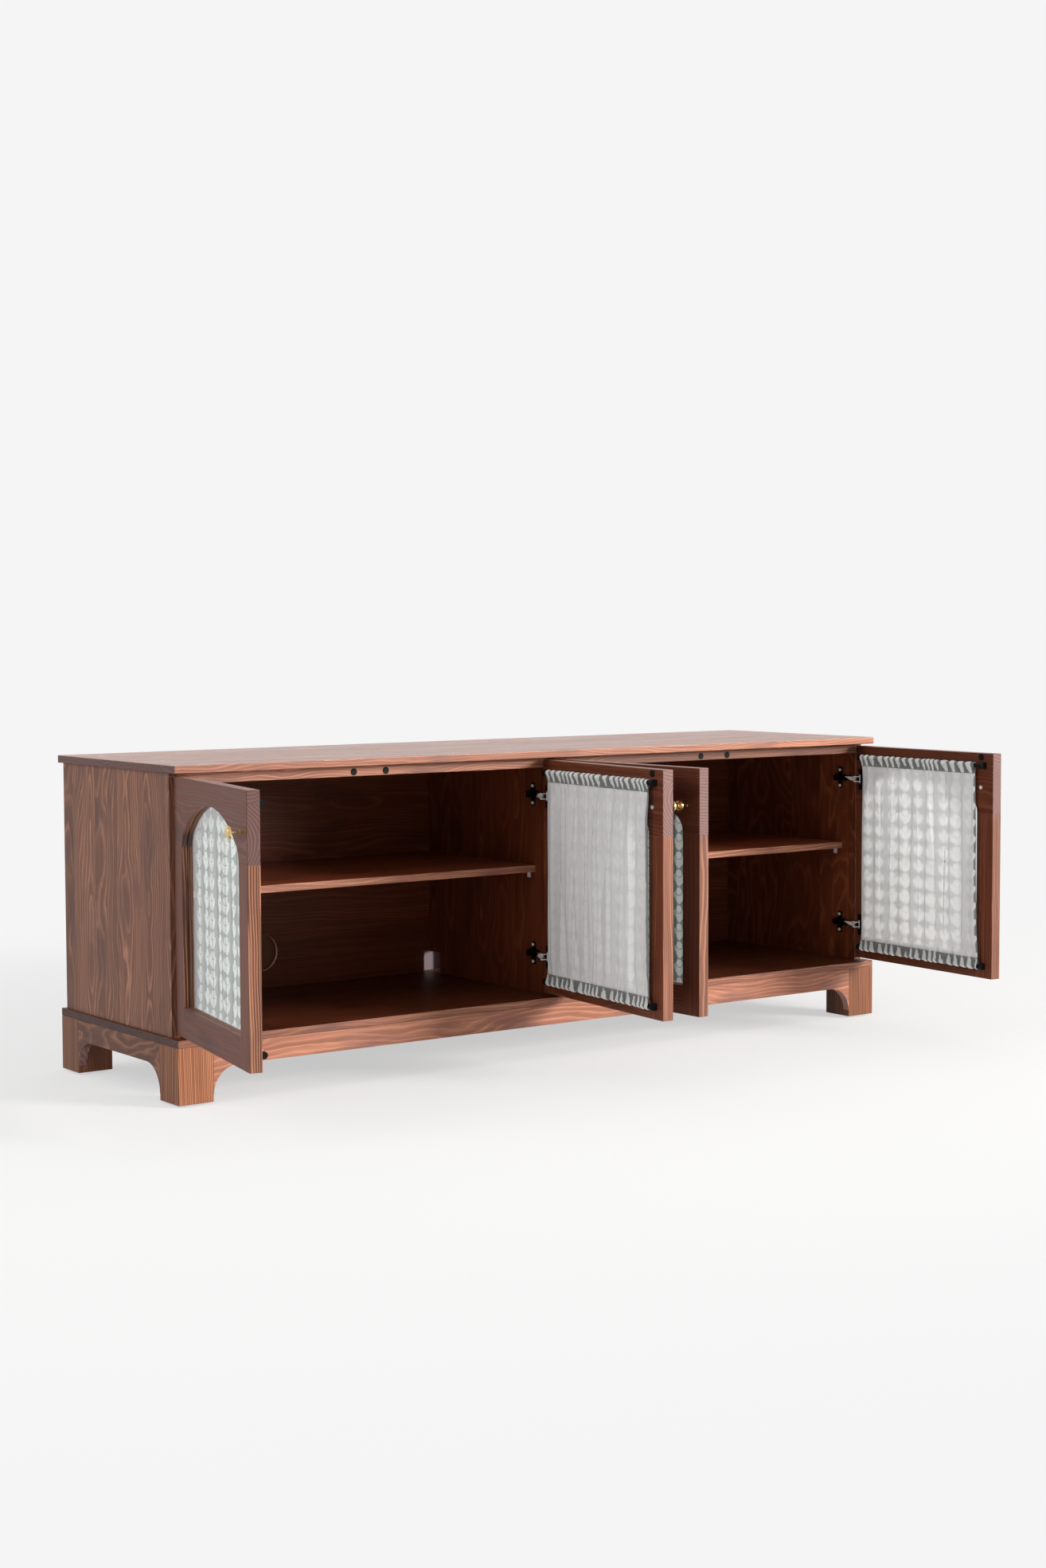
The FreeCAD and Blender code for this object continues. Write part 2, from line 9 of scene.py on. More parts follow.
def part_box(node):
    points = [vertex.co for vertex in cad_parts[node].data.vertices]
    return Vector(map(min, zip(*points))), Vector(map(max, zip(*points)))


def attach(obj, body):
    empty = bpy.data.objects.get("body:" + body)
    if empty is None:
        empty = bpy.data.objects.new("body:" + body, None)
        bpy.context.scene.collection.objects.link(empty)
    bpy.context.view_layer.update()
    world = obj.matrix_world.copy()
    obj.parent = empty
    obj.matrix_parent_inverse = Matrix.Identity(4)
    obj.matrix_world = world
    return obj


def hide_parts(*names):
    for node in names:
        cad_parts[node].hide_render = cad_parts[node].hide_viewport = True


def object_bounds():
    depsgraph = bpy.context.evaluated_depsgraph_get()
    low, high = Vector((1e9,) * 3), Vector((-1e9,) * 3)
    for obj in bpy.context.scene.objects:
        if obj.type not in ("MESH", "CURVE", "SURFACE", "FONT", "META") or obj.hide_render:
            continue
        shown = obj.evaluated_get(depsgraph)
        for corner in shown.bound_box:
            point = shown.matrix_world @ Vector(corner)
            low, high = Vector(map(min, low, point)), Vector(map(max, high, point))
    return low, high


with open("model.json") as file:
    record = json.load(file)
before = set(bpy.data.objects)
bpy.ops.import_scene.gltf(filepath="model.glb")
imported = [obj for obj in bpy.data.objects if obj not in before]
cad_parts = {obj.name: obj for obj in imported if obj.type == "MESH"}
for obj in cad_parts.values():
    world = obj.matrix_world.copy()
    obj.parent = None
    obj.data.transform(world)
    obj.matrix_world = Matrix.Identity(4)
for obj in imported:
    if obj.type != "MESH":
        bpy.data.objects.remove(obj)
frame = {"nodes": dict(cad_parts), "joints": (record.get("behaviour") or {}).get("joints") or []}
cad_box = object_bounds()
nodes = frame["nodes"]
mm = 0.001

# The camera of the photograph, in metres, degrees and pixels
image_height = 1970
camera_place = Vector((-3.0142, -4.2486, 0.8994))
camera_yaw = 36.104
camera_pitch = 3.724
camera_roll = -0.223
focal_pixels = 3029.8
sensor_height = 36.0

# Light and background, in metres, degrees and watts
pale = (0.913, 0.913, 0.913, 1)
sky_colour = (1, 1, 1, 1)
sky_level = 0.30
sky_overhead = 0.55
lamp_target = Vector((0.0, -0.3, 0.35))
key_lamp = {
    "azimuth": 36.0, "elevation": 15.0, "distance": 8.0,
    "size": (2.2, 1.8), "power": 850.0, "colour": (1.0, 0.97, 0.94),
}
fill_lamp = {
    "azimuth": -90.0, "elevation": 30.0, "distance": 5.0,
    "size": (2.5, 2.5), "power": 59.0, "colour": (0.98, 0.99, 1.0),
}
matt = {"Roughness": 0.9, "Specular_IOR_Level": 0.1}
floor_colour = (0.85, 0.85, 0.845, 1)
floor_half = 30.0
floor_fade_shape = (0.75, 1.0, 0.0)
floor_fade = (0.9, 2.6)
floor_shadow_lift = 0.60
# Painted shade: the colours of the cards that stand for the shaded space seen through the holes in the back
hole_shade_brown = (0.15, 0.07, 0.045, 1)
shade_card_colours = (hole_shade_brown, (0.19, 0.155, 0.165, 1), hole_shade_brown)
card_inset = 1 * mm

# Stains of the pine
outer_stain = {
    "dark": (0.170, 0.067, 0.042, 1), "light": (0.46, 0.205, 0.120, 1),
    "blotch": (0.120, 0.053, 0.044, 1), "end": (0.31, 0.170, 0.158, 1), "worn": (0.50, 0.27, 0.18, 1),
}
warm_stain = {
    "dark": (0.150, 0.050, 0.024, 1), "light": (0.49, 0.205, 0.100, 1),
    "blotch": (0.120, 0.042, 0.024, 1), "end": (0.24, 0.100, 0.060, 1), "worn": (0.50, 0.27, 0.18, 1),
}
lined_stain = {**outer_stain, "dark": (0.095, 0.035, 0.021, 1), "light": (0.60, 0.275, 0.165, 1)}
# Painted shade: a darker, redder copy of the stain for the faces inside the carcass
painted_shade_stain = {
    "dark": (0.102, 0.022, 0.008, 1), "light": (0.200, 0.056, 0.022, 1),
    "blotch": (0.062, 0.015, 0.007, 1), "end": (0.130, 0.045, 0.035, 1), "worn": (0.25, 0.10, 0.06, 1),
}
door_stain = {
    "dark": (0.098, 0.024, 0.011, 1), "light": (0.225, 0.070, 0.033, 1),
    "blotch": (0.062, 0.016, 0.011, 1), "end": (0.130, 0.045, 0.035, 1), "worn": (0.36, 0.16, 0.10, 1),
}
rail_end_tones = {1: 0.38, 2: 0.66, 3: 0.56, 4: 0.52}
stile_edge_tones = {1: 0.88, 2: 0.95, 3: 0.74, 4: 0.66}
stile_edge_stains = {1: lined_stain, 2: outer_stain, 3: outer_stain, 4: outer_stain}
door_face_tones = {1: 0.80, 2: 1.0, 3: 0.68, 4: 0.86}

# Faces that take another material than the rest of their node
top_skin = 1 * mm
side_apron_reach = 20 * mm
# Behind this the hinge arms take the near-black copy of the nickel, as painted shade
hinge_shoulder = 14 * mm

# Boards: their widths in mm, with lone_board for a piece that is one board
axes = {"x": 0, "y": 1, "z": 2}
left, right, front, back, down, up = (-1, 0, 0), (1, 0, 0), (0, -1, 0), (0, 1, 0), (0, 0, -1), (0, 0, 1)
plank = 125.0
upright_plank = 98.0
shelf_plank = 110.0
lone_board = 120.0

# Boards: cells so large that they only tell the pieces of a node apart, in mm
left_from_right = 500.0
half_from_half = 5000.0
front_from_back = 300.0
top_from_bottom = 300.0

# Grain of the pine: pitches are in waves per mm along, across and through a board
frame_seed = 20.0
frame_seed_step = 7
board_jump = (900.0, 900.0, 900.0)
seed_spread = (1.0, 0.37, 1.7)
pith_reach_share = 0.9
pith_slant = 0.05
ring_drift = {"pitch": (0.0042, 0.011, 0.011), "detail": 1.5, "roughness": 0.45}
ring_drift_share = 2.4
ring_waver = {"pitch": (0.016, 0.05, 0.05), "detail": 2.0, "roughness": 0.5}
ring_waver_share = 0.22
fibres = {"pitch": (0.012, 0.75, 0.75), "detail": 3.0, "roughness": 0.6}
streaks = {"pitch": (0.004, 0.10, 0.10), "detail": 2.0, "roughness": 0.5}
blotches = {"pitch": (0.006, 0.016, 0.016), "detail": 2.0, "roughness": 0.55}
ring_profile = ((0.0, 0.12), (0.40, 0.05), (0.70, 0.45), (0.86, 1.0), (0.95, 0.45), (1.0, 0.12))
faintest_ring = 0.25
ring_draw = 3.0
streak_edge = (0.45, 0.75)
streak_strength = 0.30
blotch_edge = (0.52, 0.74)
blotch_strength = 0.65
inner_face_edge = (0.4, 0.7)
board_tones = (0.87, 1.13)
fibre_tones = (0.80, 1.20)
end_fibre_tones = (0.75, 1.25)
end_ring_rate = 0.8
end_ring_strength = 0.8
end_edge = (0.55, 0.85)
end_strength = 0.9
end_roughness = 0.08
wear_radius = 1.4 * mm
wear_edge = (0.995, 0.85)
wear_patches = (0.62, 0.40)
wear_strength = 0.5
ring_relief = 0.6
fibre_relief = 0.7
grain_bump = (0.22, 0.25 * mm)

# Fittings: their finishes, and noise scales in waves per metre
lacquered_brass = {"colour": (0.83, 0.62, 0.30, 1), "roughness": (0.16, 0.32)}
satin_black = {"colour": (0.007, 0.007, 0.007, 1), "roughness": (0.45, 0.65), "metallic": 0.0, "shine": 0.08}
# Nickel drawn as a pale, mostly diffuse white so that it stays bright in shade: nickel with a painted
# highlight
nickel_plate = {"colour": (0.95, 0.94, 0.92, 1), "roughness": (0.22, 0.42), "metallic": 0.3}
# A near-black copy of the nickel for the hinge parts in the carcass's shade: painted shade
dark_nickel_plate = {
    "colour": (0.030, 0.028, 0.027, 1), "roughness": (0.24, 0.44), "edge": (0.55, 0.53, 0.51, 1),
}
black_plastic = {"colour": (0.02, 0.02, 0.02, 1), "roughness": (0.5, 0.7), "metallic": 0.0, "shine": 0.3}
smudges = {"scale": 160.0, "detail": 3.0, "roughness": 0.6}
smudge_tone = 0.78
pit_scale = 900.0
pit_bump = (0.04, 0.1 * mm)
# Painted glints along the edges: how far in from an edge and how sharply the edge colour takes over
glint_edge_radius = 0.6 * mm
glint_edge = (0.99, 0.80)
glass_tint = (0.93, 0.97, 0.955, 1)
glass_shadow_tint = (0.92, 0.95, 0.94, 1)
glass_wave_scale = 9.0
glass_roughness = 0.03

# Curtains: how they hang
curtain_slides = {1: 0.0, 2: 7 * mm, 3: 0.0, 4: -4 * mm}
curtain_flares = {1: 0.0, 2: 3 * mm, 3: 0.0, 4: 14 * mm}
curtain_seed = 11.0
curtain_columns = 500
flap_rows = 6
rod_rows = 10
panel_rows = 43
flap = 18 * mm
flap_stand_off = 1.5 * mm
pocket_clearance = 0.6 * mm
cloth_thickness = 0.6 * mm
bend_turns = 0.9
bend_across_share = 0.35
bend_upward = 2.2
stitch_start = -4 * mm
stitch_fade = 55 * mm
fold_pitch = 58 * mm
fold_depth = 5 * mm
fold_drift = 0.5
fold_sharpness = 0.75
fold_middle = 0.6
fold_strength = {"across": 6, "upward": 0.8, "middle": 0.75, "reach": 0.7, "least": 0.25, "most": 1.15}
crease_count = 26
crease_depth = 0.5 * mm
crease_strength = {"across": 12, "upward": 1.0, "middle": 0.0, "reach": 2.0, "least": 0.0, "most": 1.0}
panel_swell = 0.8 * mm
panel_swell_rates = (9, 0.9)
sag = 1 * mm
sag_rates = (3.0, 1.5)
edge_waver = 2 * mm
edge_waver_rate = 7
edge_waver_power = 12
tuck_count = 13
tuck_size = 4 * mm
tuck_mean_share = 0.75
tuck_spread_share = 0.5
tuck_stray = 0.45
tuck_wander = 2 * tuck_size
tuck_step = 2.4 * mm
tuck_settle = 17 * mm
tuck_turns = (0, 1, 2, 3)
tuck_course = (0, 1, 0, 1)
tuck_rise = (0, 0.2, 0.8, 1)
pucker_pitch = 20 * mm
pucker_depth = 2 * mm
pucker_lean = 16.0
pucker_drift = 0.25
pucker_strength = {"across": 9, "upward": 0.2, "middle": 0.75, "reach": 0.6, "least": 0.3, "most": 1.1}
wrinkles_per_pucker = 2.7
wrinkle_depth = 0.3 * mm
seam_wrinkle_depth = 0.25 * mm
seam_fold_share = 0.6
seam_pucker_share = 0.7

# Curtains: the ovals of a printed bud, each its middle, half width and half height in mm, and its lean
bud_ball = (0.0, 9.2, 9.4, 7.6, 0.0)
bud_petals = ((0.0, -6.5, 8.4, 10.4, 0.0), (-9.5, -2.0, 6.2, 11.6, 0.55), (9.5, -2.0, 6.2, 11.6, -0.55))
ball_rim = (1.07, 0.93)
petal_rim = (1.08, 0.92)
petal_gap = (1.12, 1.26)

# Curtains: the printed cotton, with noise scales in waves per metre
motif_pitch = (46 * mm, 36 * mm)
print_waver = 2.2 * mm
print_waver_scale = 180.0
print_white = (0.91, 0.92, 0.90, 1)
print_ground = (0.245, 0.265, 0.252, 1)
print_wear_scale = 900.0
print_wear_edge = (0.5, 0.8)
print_wear = 0.25
cloth_reverse = (0.88, 0.88, 0.88, 1)
cloth_show_through = (0.76, 0.765, 0.76, 1)
show_through_scale = 45.0
light_through_ground = (0.42, 0.43, 0.42, 1)
light_through_bud = (0.88, 0.88, 0.87, 1)
print_translucency = 0.60
reverse_translucency = 0.28
thread_colour = (0.62, 0.62, 0.60, 1)
thread_pitch = (2400.0, 2400.0, 0.0)
slub_pitch = (1400.0, 90.0, 0.0)
slub_relief = 0.8
pocket_show = 26 * mm
pocket_edge = (pocket_show * 1.4, pocket_show * 1.3)
pocket_uneven_scale = 160.0
pocket_uneven = 0.7
# Painted light and shade on the pockets: how high a pucker's ridge turns the print pale, and how much darker
# the cloth grows towards the seam
ridge_light_edge = (0.16, 0.30)
seam_shade_taper = 0.5
side_hem = 8 * mm
side_hem_edge = (side_hem * 1.05, side_hem * 0.95)
side_hem_ragged = side_hem * 0.6
ragged_scale = 70.0
seam_inset = 2.2 * mm
stitch_pitch = 3.2 * mm
stitch_edge = (0.5 * mm, 0.3 * mm)
stitch_gap = (0.2, 0.3)
stitch_relief = 1.5
cotton_bump = (0.25, 0.15 * mm)
cotton_finish = {"Roughness": 0.85, "Specular_IOR_Level": 0.25, "Sheen_Weight": 0.15}


class Door:
    """A door's hinge axis, how far it stands open, and the turn that closes it."""

    def __init__(self, number):
        self.number = number
        self.name = f"door{number}"
        joint = next(j for j in frame["joints"] if j["name"] == f"{self.name}_swing")
        pivot = Vector(joint["pos_m"])
        way = joint["axis"][2]
        self.hand = -way
        self.turn = way * math.radians(joint["range_deg"][0])
        rotation = Matrix.Rotation(self.turn, 4, "Z")
        self.close = Matrix.Translation(pivot) @ rotation @ Matrix.Translation(-pivot)
        self.open = self.close.inverted()

    def closed_box(self, piece):
        """Lowest and highest corner of one of the door's nodes when the door is shut."""
        points = [self.close @ v.co for v in nodes[f"{self.name}_{piece}"].data.vertices]
        low = Vector(min(p[i] for p in points) for i in range(3))
        high = Vector(max(p[i] for p in points) for i in range(3))
        return low, high


doors = [Door(number) for number in (1, 2, 3, 4)]


# Shader building

class Graph:
    """Short names for the shader nodes of one material or world."""

    def __init__(self, owner, shader="Principled BSDF", output="Material Output"):
        owner.use_nodes = True
        self.owner = owner
        self.tree = owner.node_tree
        self.shader = self.tree.nodes[shader]
        self.output = self.tree.nodes[output]

    def give(self, socket, value):
        if isinstance(value, bpy.types.NodeSocket):
            self.tree.links.new(value, socket)
        else:
            socket.default_value = value

    def node(self, kind, **settings):
        made = self.tree.nodes.new(kind)
        for name, value in settings.items():
            setattr(made, name, value)
        return made

    def fill(self, made, values):
        """Gives a node's first inputs their values, and hands back its outputs."""
        for socket, value in zip(made.inputs, values):
            self.give(socket, value)
        return made.outputs

    def math(self, operation, *values, clamp=False):
        return self.fill(self.node("ShaderNodeMath", operation=operation, use_clamp=clamp), values)[0]

    def vector(self, operation, *values):
        made = self.fill(self.node("ShaderNodeVectorMath", operation=operation), values)
        return made["Value" if operation in ("LENGTH", "DOT_PRODUCT") else "Vector"]

    def combine(self, x, y, z):
        return self.fill(self.node("ShaderNodeCombineXYZ"), (x, y, z))[0]

    def separate(self, vector):
        return self.fill(self.node("ShaderNodeSeparateXYZ"), (vector,))[:3]

    def centred(self, value, reach):
        """A value of 0 to 1 as one from minus to plus half of reach."""
        return self.math("MULTIPLY", self.math("SUBTRACT", value, 0.5), reach)

    def span(self, value, low, high):
        """A value of 0 to 1 as one from low to high."""
        return self.math("ADD", self.math("MULTIPLY", value, high - low), low)

    def coordinates(self, name):
        return self.node("ShaderNodeTexCoord").outputs[name]

    def attribute(self, name):
        return self.node("ShaderNodeAttribute", attribute_name=name).outputs["Vector"]

    def noise(self, vector, scale=1.0, detail=2.0, roughness=0.5):
        made = self.node("ShaderNodeTexNoise")
        self.give(made.inputs["Vector"], vector)
        self.give(made.inputs["Scale"], scale)
        self.give(made.inputs["Detail"], detail)
        self.give(made.inputs["Roughness"], roughness)
        return made.outputs["Fac"]

    def random(self, vector):
        made = self.node("ShaderNodeTexWhiteNoise", noise_dimensions="3D")
        self.give(made.inputs["Vector"], vector)
        return made.outputs["Color"]

    def smooth(self, value, low, high):
        """0 at low, 1 at high, and a smooth step between."""
        made = self.node("ShaderNodeMapRange", interpolation_type="SMOOTHSTEP")
        self.give(made.inputs["Value"], value)
        self.give(made.inputs["From Min"], low)
        self.give(made.inputs["From Max"], high)
        return made.outputs["Result"]

    def ramp(self, factor, stops):
        made = self.node("ShaderNodeValToRGB")
        self.give(made.inputs["Fac"], factor)
        elements = made.color_ramp.elements
        while len(elements) < len(stops):
            elements.new(1.0)
        for element, (place, grey) in zip(elements, stops):
            element.position = place
            element.color = (grey, grey, grey, 1)
        return made.outputs["Color"]

    def mix(self, factor, first, second, blend="MIX"):
        """Mixes colours. The node's colour sockets share their names with others, so they go by number."""
        made = self.node("ShaderNodeMix", data_type="RGBA", blend_type=blend)
        for number, value in ((0, factor), (6, first), (7, second)):
            self.give(made.inputs[number], value)
        return made.outputs[2]

    def toned(self, colour, level):
        """A colour made darker or paler by a level."""
        return self.mix(1.0, colour, self.combine(level, level, level), "MULTIPLY")

    def bump(self, height, strength, distance, normal=None):
        made = self.node("ShaderNodeBump")
        self.give(made.inputs["Height"], height)
        self.give(made.inputs["Strength"], strength)
        self.give(made.inputs["Distance"], distance)
        if normal:
            self.give(made.inputs["Normal"], normal)
        return made.outputs["Normal"]

    def turned(self, vector, angle, shift):
        """A vector turned about Z, and shifted if it is a place."""
        made = self.node("ShaderNodeMapping", vector_type="POINT" if shift else "VECTOR")
        self.give(made.inputs["Vector"], vector)
        made.inputs["Rotation"].default_value = (0, 0, angle)
        if shift:
            made.inputs["Location"].default_value = shift
        return made.outputs[0]

    def rounded(self, radius):
        """The normal with rounded edges, and how far it agrees with the face's own: 1 away from edges."""
        bevel = self.node("ShaderNodeBevel", samples=4)
        bevel.inputs["Radius"].default_value = radius
        plain = self.node("ShaderNodeNewGeometry").outputs["True Normal"]
        return bevel.outputs[0], self.vector("DOT_PRODUCT", bevel.outputs[0], plain)

    def on_rays(self, *kinds):
        """1 on the named kinds of ray, 0 on others."""
        path = self.node("ShaderNodeLightPath").outputs
        found = path[f"Is {kinds[0]} Ray"]
        for kind in kinds[1:]:
            found = self.math("MAXIMUM", found, path[f"Is {kind} Ray"])
        return found

    def shade(self, **values):
        """Sets or links sockets of the Principled shader; a name's underscores stand for spaces."""
        for name, value in values.items():
            self.give(self.shader.inputs[name.replace("_", " ")], value)

    def show(self, factor, first, second):
        """Makes the surface the first shader where factor is 0 and the second where it is 1."""
        mixed = self.node("ShaderNodeMixShader")
        self.fill(mixed, (factor, first.outputs[0], second.outputs[0]))
        self.give(self.output.inputs["Surface"], mixed.outputs[0])


def material_graph(name):
    return Graph(bpy.data.materials.new(name))


def scaled(colour, share):
    return tuple(c * share for c in colour[:3]) + (1,)


def dress(node, *materials):
    """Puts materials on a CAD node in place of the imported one."""
    slots = nodes[node].data.materials
    slots.clear()
    for material in materials:
        slots.append(material)


def split_faces(node, is_second):
    """Gives a node's second material to the faces whose middle passes the test."""
    for polygon in nodes[node].data.polygons:
        polygon.material_index = int(is_second(polygon.center))


# Wood

class Board(Graph):
    """Where a point lies in its board, in mm, and what chance gives that board. grain names the axes along,
    across and through the boards, and cells their size along each of these, or None where there is one."""

    def __init__(self, name, grain, cells, seed, door):
        super().__init__(bpy.data.materials.new(name))
        coords = self.node("ShaderNodeTexCoord")
        place = coords.outputs["Object"]
        self.normal = coords.outputs["Normal"]
        if door:
            place = self.turned(place, door.turn, door.close.to_translation())
            self.normal = self.turned(self.normal, door.turn, None)
        order = [axes[a] for a in grain]
        parts = self.separate(place)
        self.from_middle = parts[0]
        self.end_direction = tuple(int(axis == order[0]) for axis in range(3))
        self.along, self.across, self.through = (self.math("MULTIPLY", parts[i], 1 / mm) for i in order)
        index = [
            self.math("FLOOR", self.math("DIVIDE", value, cell)) if cell else 0.0
            for value, cell in zip((self.along, self.across, self.through), cells)
        ]
        own_seed = tuple(seed * share for share in seed_spread)
        chance = self.random(self.vector("ADD", self.combine(*index), own_seed))
        self.chances = self.separate(chance)
        self.width = cells[1] or lone_board
        if cells[1]:
            middle = self.math("MULTIPLY", self.math("ADD", index[1], 0.5), cells[1])
            self.across = self.math("SUBTRACT", self.across, middle)
        jump = self.vector("MULTIPLY", chance, board_jump)
        self.whole = self.vector("ADD", self.combine(self.along, self.across, self.through), jump)

    def texture(self, pitch, detail, roughness):
        """Noise that is drawn out along the board."""
        place = self.vector("MULTIPLY", self.whole, pitch)
        return self.noise(place, detail=detail, roughness=roughness)

    def rings(self, face, spacing, swirl, depth, figure):
        """The phase and pale lines of growth rings round a pith that wanders below the board's face."""
        first, second, third = self.chances
        side = self.math("ADD", self.across, self.centred(first, self.width * pith_reach_share))
        slant = self.math("MULTIPLY", self.along, self.centred(third, pith_slant))
        side = self.math("ADD", side, slant)
        from_face = self.math("ABSOLUTE", self.math("SUBTRACT", self.through, face / mm))
        below = self.math("ADD", from_face, self.span(second, *depth))
        radius = self.vector("LENGTH", self.combine(side, below, 0.0))
        drift = self.centred(self.texture(**ring_drift), swirl * ring_drift_share)
        waver = self.centred(self.texture(**ring_waver), swirl * ring_waver_share)
        radius = self.math("ADD", self.math("ADD", radius, drift), waver)
        phase = self.math("DIVIDE", radius, spacing)
        line = self.ramp(self.math("FRACT", phase), ring_profile)
        ring_chances = self.random(self.combine(self.math("FLOOR", phase), first, ring_draw))
        line = self.math("MULTIPLY", line, self.span(self.separate(ring_chances)[0], faintest_ring, 1.0))
        return phase, self.math("MULTIPLY", line, figure, clamp=True)

    def stains_and_shade(self, outer, edge_tone, inner, inner_tone, deep, inward):
        """The outer stain's colours, or the inner ones on the faces that deep and inward name; inside the
        carcass and on the legs' left faces these are a darker copy of the stain as painted shade.
        """
        inside = 0.0
        for direction in deep:
            looks = self.vector("DOT_PRODUCT", self.normal, direction)
            inside = self.math("MAXIMUM", inside, self.smooth(looks, *inner_face_edge))
        if inward:
            to_middle = self.math("MULTIPLY", self.math("SIGN", self.from_middle), -1.0)
            looks = self.math("MULTIPLY", self.separate(self.normal)[0], to_middle)
            inside = self.smooth(looks, *inner_face_edge)
        found = {}
        for key in outer:
            found[key] = scaled(outer[key], edge_tone)
            if deep or inward:
                found[key] = self.mix(inside, found[key], scaled(inner[key], inner_tone))
        return found


def wood(name, grain, cells, seed, face=0.0, door=None, deep=(), inward=False, spacing=5.5, swirl=20.0,
         depth=(15.0, 70.0), tone=1.0, edge_tone=1.0, end_tone=1.0, figure=1.0, roughness=(0.32, 0.54),
         shine=0.2, outer=outer_stain, inner=painted_shade_stain, inner_tone=1.0):
    """Stained pine. grain and cells are a Board's, and face is where the show side lies through the board,
    in metres. spacing, swirl and depth, in mm, say how far apart the rings are, how much they wander and
    how far below the face their pith lies. Faces that look along a direction of deep, or towards the middle
    of the console if inward, have the inner colours: inside the carcass and on the legs' left faces these
    are a darker copy of the stain as painted shade, on the doors the stain of the door faces. tone scales
    all colours, edge_tone the outer stain, inner_tone the inner colours, end_tone the end grain, and figure
    the strength of the ring lines."""
    g = Board(name, grain, cells, seed, door)
    phase, line = g.rings(face, spacing, swirl, depth, figure)
    stain = g.stains_and_shade(outer, edge_tone, inner, inner_tone, deep, inward)

    # Fibres, streaks, blotches and the tone of each board
    fibre = g.texture(**fibres)
    streak = g.texture(**streaks)
    blotch = g.texture(**blotches)
    streaked = g.math("MULTIPLY", g.smooth(streak, *streak_edge), streak_strength)
    blotched = g.math("MULTIPLY", g.smooth(blotch, *blotch_edge), blotch_strength)
    colour = g.mix(line, stain["dark"], stain["light"])
    colour = g.mix(streaked, colour, stain["light"])
    colour = g.mix(blotched, colour, stain["blotch"])
    board_tone = g.math("MULTIPLY", g.span(g.chances[2], *board_tones), tone)
    colour = g.toned(colour, g.math("MULTIPLY", board_tone, g.span(fibre, *fibre_tones)))

    # End grain takes the stain another way, and edges wear paler
    end = g.math("ABSOLUTE", g.vector("DOT_PRODUCT", g.normal, g.end_direction))
    end = g.smooth(end, *end_edge)
    end_ring = g.math("FRACT", g.math("MULTIPLY", phase, end_ring_rate))
    end_level = g.math("ADD", g.centred(end_ring, end_ring_strength), g.span(fibre, *end_fibre_tones))
    end_colour = g.toned(stain["end"], g.math("MULTIPLY", end_level, end_tone))
    colour = g.mix(g.math("MULTIPLY", end, end_strength), colour, end_colour)
    normal, agrees = g.rounded(wear_radius)
    wear = g.math("MULTIPLY", g.smooth(agrees, *wear_edge), g.smooth(blotch, *wear_patches))
    colour = g.mix(g.math("MULTIPLY", wear, wear_strength), colour, stain["worn"])

    relief = g.math("ADD", g.math("MULTIPLY", line, ring_relief), g.math("MULTIPLY", fibre, fibre_relief))
    rough = g.math("ADD", g.span(streak, *roughness), g.math("MULTIPLY", end, end_roughness))
    g.shade(Base_Color=colour, Roughness=rough, Normal=g.bump(relief, *grain_bump, normal))
    g.shade(Specular_IOR_Level=shine)
    return g.owner


def dress_boards():
    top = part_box("top_board")[1].z
    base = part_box("bottom_board")[1].z
    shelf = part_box("shelves")[1].z
    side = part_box("side_panels")[0].x
    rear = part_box("back_panel")[0].y
    # deep and inward give the faces inside the carcass the darker copy of the stain as painted shade
    lengthways = {"grain": "xyz", "cells": (None, plank, None), "seed": 1.0, "face": top, "deep": (down,),
                  "swirl": 24.0, "end_tone": 0.30}
    polished = wood("pine_top", **lengthways, tone=1.30, roughness=(0.08, 0.58), shine=0.9)
    edges = wood("pine_top_edges", **lengthways, tone=1.42)
    dress("top_board", polished, edges)
    split_faces("top_board", lambda middle: middle.z < top - top_skin)
    dress("bottom_board", wood("pine_base", "xyz", (None, plank, None), seed=2.0, face=base,
                               deep=(up, down), tone=1.05, end_tone=0.14, inner_tone=0.68))
    dress("side_panels", wood("pine_sides", "zyx", (None, upright_plank, left_from_right), seed=3.0,
                              face=side, inward=True, spacing=8.0, swirl=34.0, depth=(8.0, 45.0),
                              edge_tone=0.70, figure=1.2))
    dress("centre_divider", wood("pine_divider", "zyx", (None, upright_plank, None), seed=4.0,
                                 deep=(left, right, front)))
    dress("back_panel", wood("pine_back", "xzy", (None, plank, None), seed=8.0, face=rear, deep=(front,),
                             swirl=12.0, figure=0.8))
    dress("shelves", wood("pine_shelves", "xyz", (half_from_half, shelf_plank, None), seed=6.0, face=shelf,
                          deep=(up, down), tone=1.75, edge_tone=0.70))
    dress("carcass_dowels", wood("dowel_beech", "zxy", (None, None, None), seed=40.0, tone=1.6))


